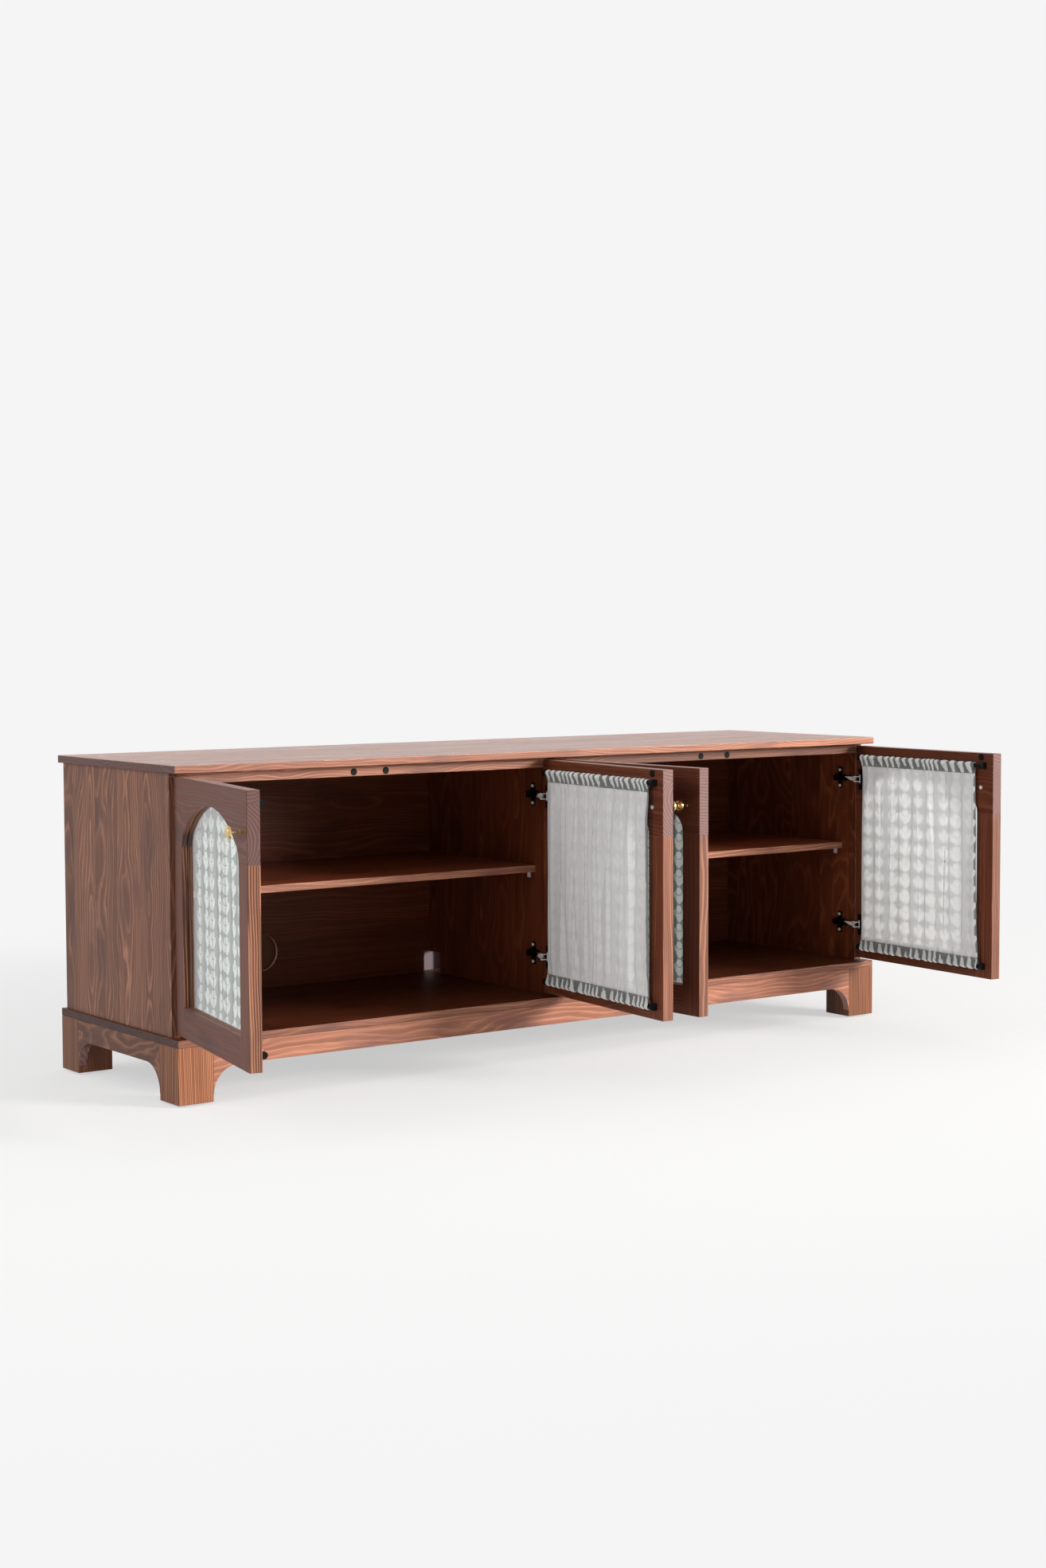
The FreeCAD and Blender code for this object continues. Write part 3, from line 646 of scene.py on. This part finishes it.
def dress_base_and_rails():
    """The pieces whose left and right, or long and short members differ in tone. The right rail and the
    right legs are darker than the left ones: painted shade.
    """
    # Painted shade: the right rail takes a darker tone than the left
    rails = [
        wood(f"pine_{name}_rail", "xzy", (None, None, None), seed=seed, deep=(back, down), swirl=26.0,
             tone=tone)
        for name, seed, tone in (("left", 5.0, 1.3), ("right", 5.5, 0.82))
    ]
    dress("front_top_rails", *rails)
    split_faces("front_top_rails", lambda middle: middle.x > 0)
    # Painted shade: the right legs take a darker tone than the left, and each leg's left face a darker copy
    # of its stain
    legs = [
        wood(f"pine_{name}_legs", "zxy", (None, None, front_from_back), seed=7.0, deep=(left,),
             spacing=3.2, swirl=1.2, depth=(160.0, 240.0), tone=tone, figure=1.5, outer=warm_stain,
             inner=warm_stain, inner_tone=0.66)
        for name, tone in (("left", 1.04), ("right", 0.66))
    ]
    dress("legs", *legs)
    split_faces("legs", lambda middle: middle.x > 0)
    long_aprons = wood("pine_aprons", "xzy", (None, None, front_from_back), seed=9.0, spacing=3.6,
                       swirl=11.0, tone=1.6)
    side_aprons = wood("pine_side_aprons", "yzx", (None, None, left_from_right), seed=10.0, spacing=6.0,
                       swirl=30.0, tone=0.47, figure=1.4)
    dress("aprons", long_aprons, side_aprons)
    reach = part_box("aprons")[1].x - side_apron_reach
    split_faces("aprons", lambda middle: abs(middle.x) > reach)


def dress_frame(door):
    """The stiles and rails of a door. Each half of a door's width is one stile's board."""
    seed = frame_seed + frame_seed_step * door.number
    half_door = -doors[0].closed_box("stiles")[0].x / 4 / mm
    faces = {"face": door.closed_box("stiles")[0].y, "door": door, "deep": (back, front),
             "inner": door_stain, "inner_tone": door_face_tones[door.number]}
    upright = wood(f"pine_{door.name}_stiles", "zxy", (None, half_door, None), seed=seed, **faces,
                   spacing=3.4, swirl=5.0, depth=(30.0, 70.0), edge_tone=stile_edge_tones[door.number],
                   figure=1.6, outer=stile_edge_stains[door.number])
    level = wood(f"pine_{door.name}_rails", "xzy", (None, top_from_bottom, None), seed=seed + 1, **faces,
                 spacing=4.6, swirl=12.0, end_tone=rail_end_tones[door.number], figure=0.9)
    dress(f"{door.name}_stiles", upright)
    dress(f"{door.name}_top_rail", level)
    dress(f"{door.name}_bottom_rail", level)


# Metal, glass and plastic

def metal(name, colour, roughness, metallic=1.0, shine=0.5, edge=None):
    """Metal, or plastic that is as plain, with faint smudges in its gloss. Its edges take a painted glint
    if edge is a colour."""
    g = material_graph(name)
    place = g.coordinates("Object")
    smudge = g.noise(place, **smudges)
    base = g.mix(smudge, colour, scaled(colour, smudge_tone))
    # Painted glint: the edges turn the edge colour
    if edge:
        agrees = g.rounded(glint_edge_radius)[1]
        base = g.mix(g.smooth(agrees, *glint_edge), base, edge)
    g.shade(Base_Color=base, Metallic=metallic, Specular_IOR_Level=shine)
    g.shade(Roughness=g.span(smudge, *roughness), Normal=g.bump(g.noise(place, pit_scale), *pit_bump))
    return g.owner


def window_glass():
    """Clear glass that lets lamp light through to the curtain."""
    g = material_graph("clear_glass")
    waves = g.noise(g.coordinates("Object"), glass_wave_scale)
    g.shade(Base_Color=glass_tint, Transmission_Weight=1.0, IOR=1.5)
    g.shade(Roughness=g.math("MULTIPLY", waves, glass_roughness))
    clear = g.node("ShaderNodeBsdfTransparent")
    clear.inputs["Color"].default_value = glass_shadow_tint
    g.show(g.on_rays("Shadow"), g.shader, clear)
    return g.owner


def dress_fittings():
    brass = metal("lacquered_brass", **lacquered_brass)
    black = metal("satin_black", **satin_black)
    nickel = metal("nickel_plate", **nickel_plate)
    shaded_nickel = metal("dark_nickel_plate", **dark_nickel_plate)
    plastic = metal("black_plastic", **black_plastic)
    glass = window_glass()
    dress("shelf_pins", nickel)
    dress("hinge_screws", nickel)
    # Painted shade: the hinge plates, the cups and the arms behind their shoulder take the near-black copy
    # of the nickel, while the arms' fronts keep the bright nickel
    dress("hinge_plates", shaded_nickel)
    dress("hinge_arms", shaded_nickel, nickel)
    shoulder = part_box("hinge_plates")[0].y - hinge_shoulder
    split_faces("hinge_arms", lambda middle: middle.y < shoulder)
    dress("catch_magnets", black)
    dress("leg_glides", plastic)
    for door in doors:
        dress(f"{door.name}_glass", glass)
        dress(f"{door.name}_knob", brass, nickel)
        outside = door.closed_box("stiles")[0].y
        split_faces(f"{door.name}_knob", lambda middle: (door.close @ middle).y > outside)
        for name in ("curtain_rods", "rod_brackets", "strike"):
            dress(f"{door.name}_{name}", black)
        dress(f"{door.name}_hinge_cups", shaded_nickel)
        dress(f"{door.name}_hinge_links", nickel)


# Printed cotton

def bud_print(g, cloth):
    """1 inside the printed buds, 0 on the ground: a ball in a cup of three petals, in upright rows."""
    waver = g.centred(g.noise(cloth, print_waver_scale, detail=1.0), print_waver)
    cell = []
    for value, pitch in zip(g.separate(cloth), motif_pitch):
        share = g.math("FRACT", g.math("DIVIDE", g.math("ADD", value, waver), pitch))
        cell.append(g.centred(share, pitch / mm))

    def oval(middle_x, middle_y, half_width, half_height, lean):
        """How far out a point lies, 1 at the rim of a leaning oval. Lengths are in mm."""
        x = g.math("SUBTRACT", cell[0], middle_x)
        y = g.math("SUBTRACT", cell[1], middle_y)
        cosine, sine = math.cos(lean), math.sin(lean)
        along = g.math("ADD", g.math("MULTIPLY", y, cosine), g.math("MULTIPLY", x, -sine))
        beside = g.math("ADD", g.math("MULTIPLY", x, cosine), g.math("MULTIPLY", y, sine))
        out = g.combine(g.math("DIVIDE", beside, half_width), g.math("DIVIDE", along, half_height), 0.0)
        return g.vector("LENGTH", out)

    cup = 0.0
    for petal in bud_petals:
        cup = g.math("MAXIMUM", cup, g.smooth(oval(*petal), *petal_rim))
    from_ball = oval(*bud_ball)
    cup = g.math("MULTIPLY", cup, g.smooth(from_ball, *petal_gap))
    return g.math("MAXIMUM", cup, g.smooth(from_ball, *ball_rim))


def weave(g, cloth):
    """The height of plain-woven cotton threads."""
    fine = g.noise(g.vector("MULTIPLY", cloth, thread_pitch), roughness=0.7)
    slub = g.noise(g.vector("MULTIPLY", cloth, slub_pitch))
    return g.math("ADD", fine, g.math("MULTIPLY", slub, slub_relief))


def cotton(name, reverse):
    """Block-printed cotton: the printed side, or the pale reverse where the print just shows through."""
    g = material_graph(name)
    cloth = g.attribute("cloth")
    from_edge, from_end, ridge = g.separate(g.attribute("hem"))
    bud = bud_print(g, cloth)
    worn = g.smooth(g.noise(cloth, print_wear_scale), *print_wear_edge)

    # In the gathered pockets the print is painted pale on each pucker's ridge and dark in the hollows and
    # towards the seam: painted light and shade on the gathers, in the print's colours
    to_seam = g.math("SUBTRACT", 1.0, g.math("DIVIDE", from_end, pocket_show), clamp=True)
    uneven = g.centred(g.noise(cloth, pocket_uneven_scale), pocket_uneven)
    taper = g.math("MULTIPLY", g.math("POWER", to_seam, 2.0), seam_shade_taper)
    ridge_light = g.math("SUBTRACT", g.math("ADD", ridge, uneven), taper)
    in_pocket = g.smooth(from_end, *pocket_edge)
    shown = g.mix(in_pocket, bud, g.smooth(ridge_light, *ridge_light_edge))
    colour = g.mix(shown, print_ground, print_white)
    colour = g.mix(g.math("MULTIPLY", worn, print_wear), colour, print_white)
    if reverse:
        ragged = g.math("MULTIPLY", g.noise(cloth, ragged_scale, detail=1.0), side_hem_ragged)
        in_hem = g.smooth(g.math("ADD", from_edge, ragged), *side_hem_edge)
        soft = g.mix(bud, cloth_show_through, cloth_reverse)
        soft = g.mix(g.noise(cloth, show_through_scale), cloth_reverse, soft)
        colour = g.mix(in_hem, soft, colour)

    # A row of stitches along each pocket's seam
    along_seam = g.math("FRACT", g.math("DIVIDE", g.separate(cloth)[0], stitch_pitch))
    beside_seam = g.math("ABSOLUTE", g.math("SUBTRACT", from_end, seam_inset))
    stitch = g.math("MULTIPLY", g.smooth(beside_seam, *stitch_edge), g.smooth(along_seam, *stitch_gap))
    colour = g.mix(stitch, colour, thread_colour)
    height = g.math("ADD", weave(g, cloth), g.math("MULTIPLY", stitch, stitch_relief))
    relief = g.bump(height, *cotton_bump)
    g.shade(Base_Color=colour, Normal=relief, **cotton_finish)

    # Thin cotton lets light from behind through, less of it at the printed ground
    through = g.node("ShaderNodeBsdfTranslucent")
    if reverse:
        through.inputs["Color"].default_value = cloth_reverse
    else:
        g.give(through.inputs["Color"], g.mix(shown, light_through_ground, light_through_bud))
    g.give(through.inputs["Normal"], relief)
    g.show(reverse_translucency if reverse else print_translucency, g.shader, through)
    return g.owner


# Hanging cloth: u runs from 0 to 1 across it, and z or share up it

def swell(u, z, across, upward, seed):
    """Smooth noise from about -0.8 to 0.8 over the cloth."""
    return np.array([[noise.noise((a * across, b * upward, seed)) for a in u] for b in z])


def patchy(u, z, seed, across, upward, middle, reach, least, most):
    """A strength that varies over the cloth, held between least and most."""
    return np.clip(middle + reach * swell(u, z, across, upward, seed), least, most)


def ripple(u, z, count, seed, lean=0.0):
    """The phase of uneven waves across the cloth, in turns; lean slants them."""
    bend = swell(u, z, count * bend_across_share, bend_upward, seed)
    return u[None, :] * count + bend_turns * bend + lean * z[:, None]


def wave(phase):
    return np.sin(2 * np.pi * phase)


def step(values, low, high):
    """0 at low, 1 at high, and a smooth step between."""
    share = np.clip((values - low) / (high - low), 0, 1)
    return share * share * (3 - 2 * share)


def tuck_in(cloth, share, seed):
    """Knife pleats across the cloth: how far each draws it in, and how far it steps out of plane. The
    factors on k take each pleat to a place of its own in the noise."""
    drawn = np.zeros_like(cloth)
    lift = np.zeros_like(cloth)
    whole = cloth[0, -1]
    for k in range(tuck_count):
        stray = noise.noise((k * 3.1, 0.7, seed))
        wander = np.array([noise.noise((k * 5.3, s * 1.3, seed)) for s in share])
        place = whole * (k + 0.5 + tuck_stray * stray) / tuck_count + tuck_wander * wander
        size = tuck_size * (tuck_mean_share + tuck_spread_share * noise.noise((k * 1.7, 9.1, seed)))
        past = cloth - place[:, None]
        turns = np.clip(past / size, tuck_turns[0], tuck_turns[-1])
        drawn += size * (turns - np.interp(turns, tuck_turns, tuck_course))
        lift += tuck_step * np.interp(turns, tuck_turns, tuck_rise)
        lift -= tuck_step * step(past - tuck_turns[-1] * size, 0, tuck_settle)
    return drawn, lift


def pocket_rows(z_rod, way, radius):
    """The cloth's course from the end of a flap over its rod to the seam behind, for the upper rod if way
    is 1 and the lower one if it is -1. A row is its stand-off, height, outward direction and kind."""
    rows = []
    for s in np.linspace(1, 0, flap_rows + 1)[:-1]:
        stand = flap_stand_off + (radius - flap_stand_off) * (1 - s) ** 2
        rows.append((stand, z_rod - way * flap * s, (1, 0), "flap"))
    for angle in np.linspace(0, math.pi, rod_rows + 1):
        out, rise = math.cos(angle), way * math.sin(angle)
        rows.append((radius * out, z_rod + radius * rise, (out, rise), "rod"))
    for s in np.linspace(0, 1, flap_rows + 1)[1:]:
        rows.append((-radius * (1 - s) ** 2, z_rod - way * flap * s, (1, 0), "back"))
    return rows


def curtain_rows(z_low, z_high, radius):
    """The cloth's course from flap to flap over both rods."""
    heights = np.linspace(z_high - flap, z_low + flap, panel_rows + 1)[1:-1]
    panel = [(0.0, z, (1, 0), "panel") for z in heights]
    return pocket_rows(z_high, 1, radius) + panel + pocket_rows(z_low, -1, radius)[::-1]


def hang_cloth(rows, z_low, z_high, width, flare, seed):
    """Where the cloth's points hang, measured from its hinge side and the rods' plane, and how high the
    ridge of a pucker stands at each."""
    u = np.linspace(0, 1, curtain_columns + 1)
    z = np.array([row[1] for row in rows])
    share = (z - z_low) / (z_high - z_low)

    # Fine puckers at the rods, which run out into fewer and softer folds
    from_stitch = np.minimum(z_high - flap - z, z - z_low - flap)
    openness = step(from_stitch, stitch_start, stitch_fade)[:, None]
    at_rod = step(-from_stitch, 0, flap)[:, None]
    puckers = width / pucker_pitch
    strength = patchy(u, share, seed + 1, **pucker_strength)
    slow = share * pucker_drift
    ridge = (0.5 + 0.5 * wave(ripple(u, slow, puckers, seed, pucker_lean))) * strength
    wrinkles = ripple(u, slow, wrinkles_per_pucker * puckers, seed + 7, pucker_lean)
    wrinkle = wave(wrinkles) * strength
    drape = patchy(u, share, seed + 3, **fold_strength)
    fold = np.abs(np.sin(np.pi * ripple(u, share * fold_drift, width / fold_pitch, seed + 2)))
    folds = (fold ** fold_sharpness - fold_middle) * drape
    creased = patchy(u, share, seed + 6, **crease_strength)
    creases = wave(ripple(u, share, crease_count, seed + 5)) * creased

    # How far the cloth stands out, in the open panel, at the seams and round the rods
    panel = fold_depth * folds + crease_depth * creases
    panel += panel_swell * swell(u, share, *panel_swell_rates, seed + 4)
    stitched = seam_fold_share * fold_depth * folds + seam_pucker_share * pucker_depth * (ridge - 0.5)
    stitched += seam_wrinkle_depth * wrinkle
    bulge = pucker_depth * ridge + wrinkle_depth * wrinkle
    breadth = (width + flare * (1 - share))[:, None]
    loose = breadth + 2 * tuck_count * tuck_size * tuck_mean_share
    drawn, lift = tuck_in(loose * u[None, :], share, seed)
    hung = (loose * u[None, :] - drawn) * breadth / (loose - drawn[:, -1:])
    spread = breadth * u[None, :] * (1 - openness) + hung * openness
    push = stitched * (1 - openness) + (panel + lift) * openness

    points = np.zeros((len(rows), len(u), 3))
    sagging = sag * swell(u, share, *sag_rates, seed + 6)
    for j, (stand, height, direction, kind) in enumerate(rows):
        if kind == "rod":
            points[j, :, 1] = stand + direction[0] * bulge[j]
            points[j, :, 2] = height + direction[1] * bulge[j]
        else:
            outward = 1 if stand > 0 else -1
            held = at_rod[j] if kind != "panel" else 0.0
            points[j, :, 1] = stand + push[j] * (1 - held) + outward * bulge[j] * held
            points[j, :, 2] = height
        points[j, :, 0] = spread[j] + sagging[j] * np.sin(np.pi * u)
    free_edge = edge_waver * np.array([noise.noise((s * edge_waver_rate, 0.3, seed)) for s in share])
    points[:, :, 0] += free_edge[:, None] * u[None, :] ** edge_waver_power
    return points, ridge


def lay_flat(rows, points):
    """Each point's distance across the flat cloth, and each row's distance down it."""
    gaps = np.diff(points[:, :, :2], axis=1)
    lengths = np.zeros(points.shape[:2])
    lengths[:, 1:] = np.cumsum(np.hypot(gaps[..., 0], gaps[..., 1]), axis=1)
    across = lengths / lengths[:, -1:] * np.mean(lengths[:, -1])
    course = np.array([row[:2] for row in rows])
    along = np.concatenate([[0], np.cumsum(np.hypot(*np.diff(course, axis=0).T))])
    return across, along


def add_attribute(mesh, name, *values):
    """Stores three values for each of a mesh's points."""
    attribute = mesh.attributes.new(name, "FLOAT_VECTOR", "POINT")
    attribute.data.foreach_set("vector", np.stack(values, 1).ravel().astype(np.float32))


def make_curtain(door, materials):
    low, high = door.closed_box("curtain")
    rod_low, rod_high = door.closed_box("curtain_rods")
    rod_radius = (rod_high.y - rod_low.y) / 2
    y_rod = (rod_high.y + rod_low.y) / 2
    z_low = rod_low.z + rod_radius
    z_high = rod_high.z - rod_radius
    width = high.x - low.x + curtain_slides[door.number]
    rows = curtain_rows(z_low, z_high, rod_radius + pocket_clearance)
    seed = curtain_seed * door.number
    points, ridge = hang_cloth(rows, z_low, z_high, width, curtain_flares[door.number], seed)
    across, along = lay_flat(rows, points)
    flat_width = float(across[0, -1])
    flat_length = float(along[-1])

    closed_x = low.x + points[..., 0] if door.hand > 0 else high.x - points[..., 0]
    vertices = [
        door.open @ Vector((x, y_rod + p[1], p[2]))
        for x, p in zip(closed_x.ravel(), points.reshape(-1, 3))
    ]
    n = curtain_columns + 1
    faces = []
    for j in range(len(rows) - 1):
        for i in range(n - 1):
            a = j * n + i
            quad = (a, a + 1, a + n + 1, a + n)
            faces.append(quad[::-1] if door.hand > 0 else quad)
    mesh = bpy.data.meshes.new(f"{door.name}_gathered_curtain")
    mesh.from_pydata(vertices, [], faces)
    add_attribute(mesh, "cloth", across.ravel(), np.repeat(-along, n), np.zeros(across.size))
    from_end = np.repeat(np.minimum(along, flat_length - along), n)
    add_attribute(mesh, "hem", (flat_width - across).ravel(), from_end, ridge.ravel())
    for material in materials:
        mesh.materials.append(material)
    mesh.polygons.foreach_set("use_smooth", [True] * len(faces))
    piece = bpy.data.objects.new(f"{door.name}_gathered_curtain", mesh)
    bpy.context.scene.collection.objects.link(piece)
    solid = piece.modifiers.new("thickness", "SOLIDIFY")
    solid.thickness = cloth_thickness
    solid.offset = 0
    solid.material_offset = 1
    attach(piece, door.name)
    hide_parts(f"{door.name}_curtain")
    print(f"{door.name} curtain, flat {flat_width / mm:.0f} x {flat_length / mm:.0f} mm")


# Stage

def make_quad(name, corners, material):
    mesh = bpy.data.meshes.new(name)
    mesh.from_pydata(corners, [], [(0, 1, 2, 3)])
    mesh.materials.append(material)
    quad = bpy.data.objects.new(name, mesh)
    bpy.context.scene.collection.objects.link(quad)
    return quad


def make_floor():
    """A matt floor that keeps the console's shadow close by and turns into the backdrop further out."""
    g = material_graph("pale_floor")
    g.shade(Base_Color=floor_colour, **matt)
    glow = g.node("ShaderNodeEmission")
    glow.inputs["Color"].default_value = pale
    place = g.vector("MULTIPLY", g.coordinates("Object"), floor_fade_shape)
    far = g.smooth(g.vector("LENGTH", place), *floor_fade)
    lift = g.span(far, floor_shadow_lift, 1.0)
    g.show(g.math("MULTIPLY", lift, g.on_rays("Camera", "Glossy", "Transmission")), g.shader, glow)
    h = floor_half
    floor = make_quad("floor", [(-h, -h, 0), (h, -h, 0), (h, h, 0), (-h, h, 0)], g.owner)


def make_shade_cards():
    """Three cards side by side in the recess behind the back panel, painted shade for the shaded space seen
    through its openings: brown behind the cable holes and paler behind the cut-out between them. Only the
    front sees them."""
    low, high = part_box("back_panel")
    rear = cad_box[1].y - card_inset
    width = (high.x - low.x) / len(shade_card_colours)
    for number, colour in enumerate(shade_card_colours):
        start = low.x + number * width
        end = start + width
        name = f"backdrop_card_{number}"
        g = material_graph(name)
        g.shade(Base_Color=colour, **matt)
        facing = g.math("SUBTRACT", 1.0, g.node("ShaderNodeNewGeometry").outputs["Backfacing"])
        seen = g.math("MULTIPLY", g.on_rays("Camera", "Glossy"), facing)
        g.show(seen, g.node("ShaderNodeBsdfTransparent"), g.shader)
        corners = [(x, rear, z) for x, z in ((start, low.z), (end, low.z), (end, high.z), (start, high.z))]
        card = make_quad(name, corners, g.owner)


def hang_lamp(name, azimuth, elevation, distance, size, power, colour):
    """A soft box aimed at the console. Azimuth is in degrees from straight in front, to the right."""
    data = bpy.data.lights.new(name, "AREA")
    data.shape = "RECTANGLE"
    data.size, data.size_y = size
    data.energy = power
    data.color = colour
    lamp = bpy.data.objects.new(name, data)
    azimuth, elevation = math.radians(azimuth), math.radians(elevation)
    level = distance * math.cos(elevation)
    height = distance * math.sin(elevation)
    reach = Vector((level * math.sin(azimuth), -level * math.cos(azimuth), height))
    lamp.location = lamp_target + reach
    lamp.rotation_euler = (-reach).to_track_quat("-Z", "Y").to_euler()
    bpy.context.scene.collection.objects.link(lamp)


def light_scene():
    """A sky that is brighter overhead, seen as the pale backdrop, and two lamps."""
    g = Graph(bpy.data.worlds.new("studio"), "Background", "World Output")
    bpy.context.scene.world = g.owner
    g.shader.inputs["Color"].default_value = sky_colour
    level = g.node("ShaderNodeMapRange")
    g.give(level.inputs["Value"], g.separate(g.coordinates("Generated"))[2])
    level.inputs["To Min"].default_value = sky_level
    level.inputs["To Max"].default_value = sky_level + sky_overhead
    g.give(g.shader.inputs["Strength"], level.outputs["Result"])
    backdrop = g.node("ShaderNodeBackground")
    backdrop.inputs["Color"].default_value = pale
    g.show(g.on_rays("Camera", "Glossy", "Transmission"), g.shader, backdrop)
    hang_lamp("key", **key_lamp)
    hang_lamp("fill", **fill_lamp)


def place_camera():
    yaw, pitch, roll = (math.radians(a) for a in (camera_yaw, camera_pitch, camera_roll))
    ahead = Vector((math.sin(yaw) * math.cos(pitch), math.cos(yaw) * math.cos(pitch), -math.sin(pitch)))
    level = Vector((math.cos(yaw), -math.sin(yaw), 0))
    upright = level.cross(ahead)
    rolled_level = math.cos(roll) * level + math.sin(roll) * upright
    rolled_upright = math.cos(roll) * upright - math.sin(roll) * level
    data = bpy.data.cameras.new("photo_camera")
    data.sensor_fit = "VERTICAL"
    data.sensor_height = sensor_height
    data.lens = focal_pixels * sensor_height / image_height
    camera = bpy.data.objects.new("photo_camera", data)
    turn = Matrix((rolled_level, rolled_upright, -ahead)).transposed()
    camera.matrix_world = Matrix.Translation(camera_place) @ turn.to_4x4()
    bpy.context.scene.collection.objects.link(camera)
    bpy.context.scene.camera = camera


# The console and its stage

dress_boards()
dress_base_and_rails()
dress_fittings()
cloths = (cotton("cotton_print", False), cotton("cotton_reverse", True))
for each_door in doors:
    dress_frame(each_door)
    make_curtain(each_door, cloths)
make_floor()
make_shade_cards()
light_scene()
place_camera()
bpy.context.scene.view_settings.view_transform = "Standard"
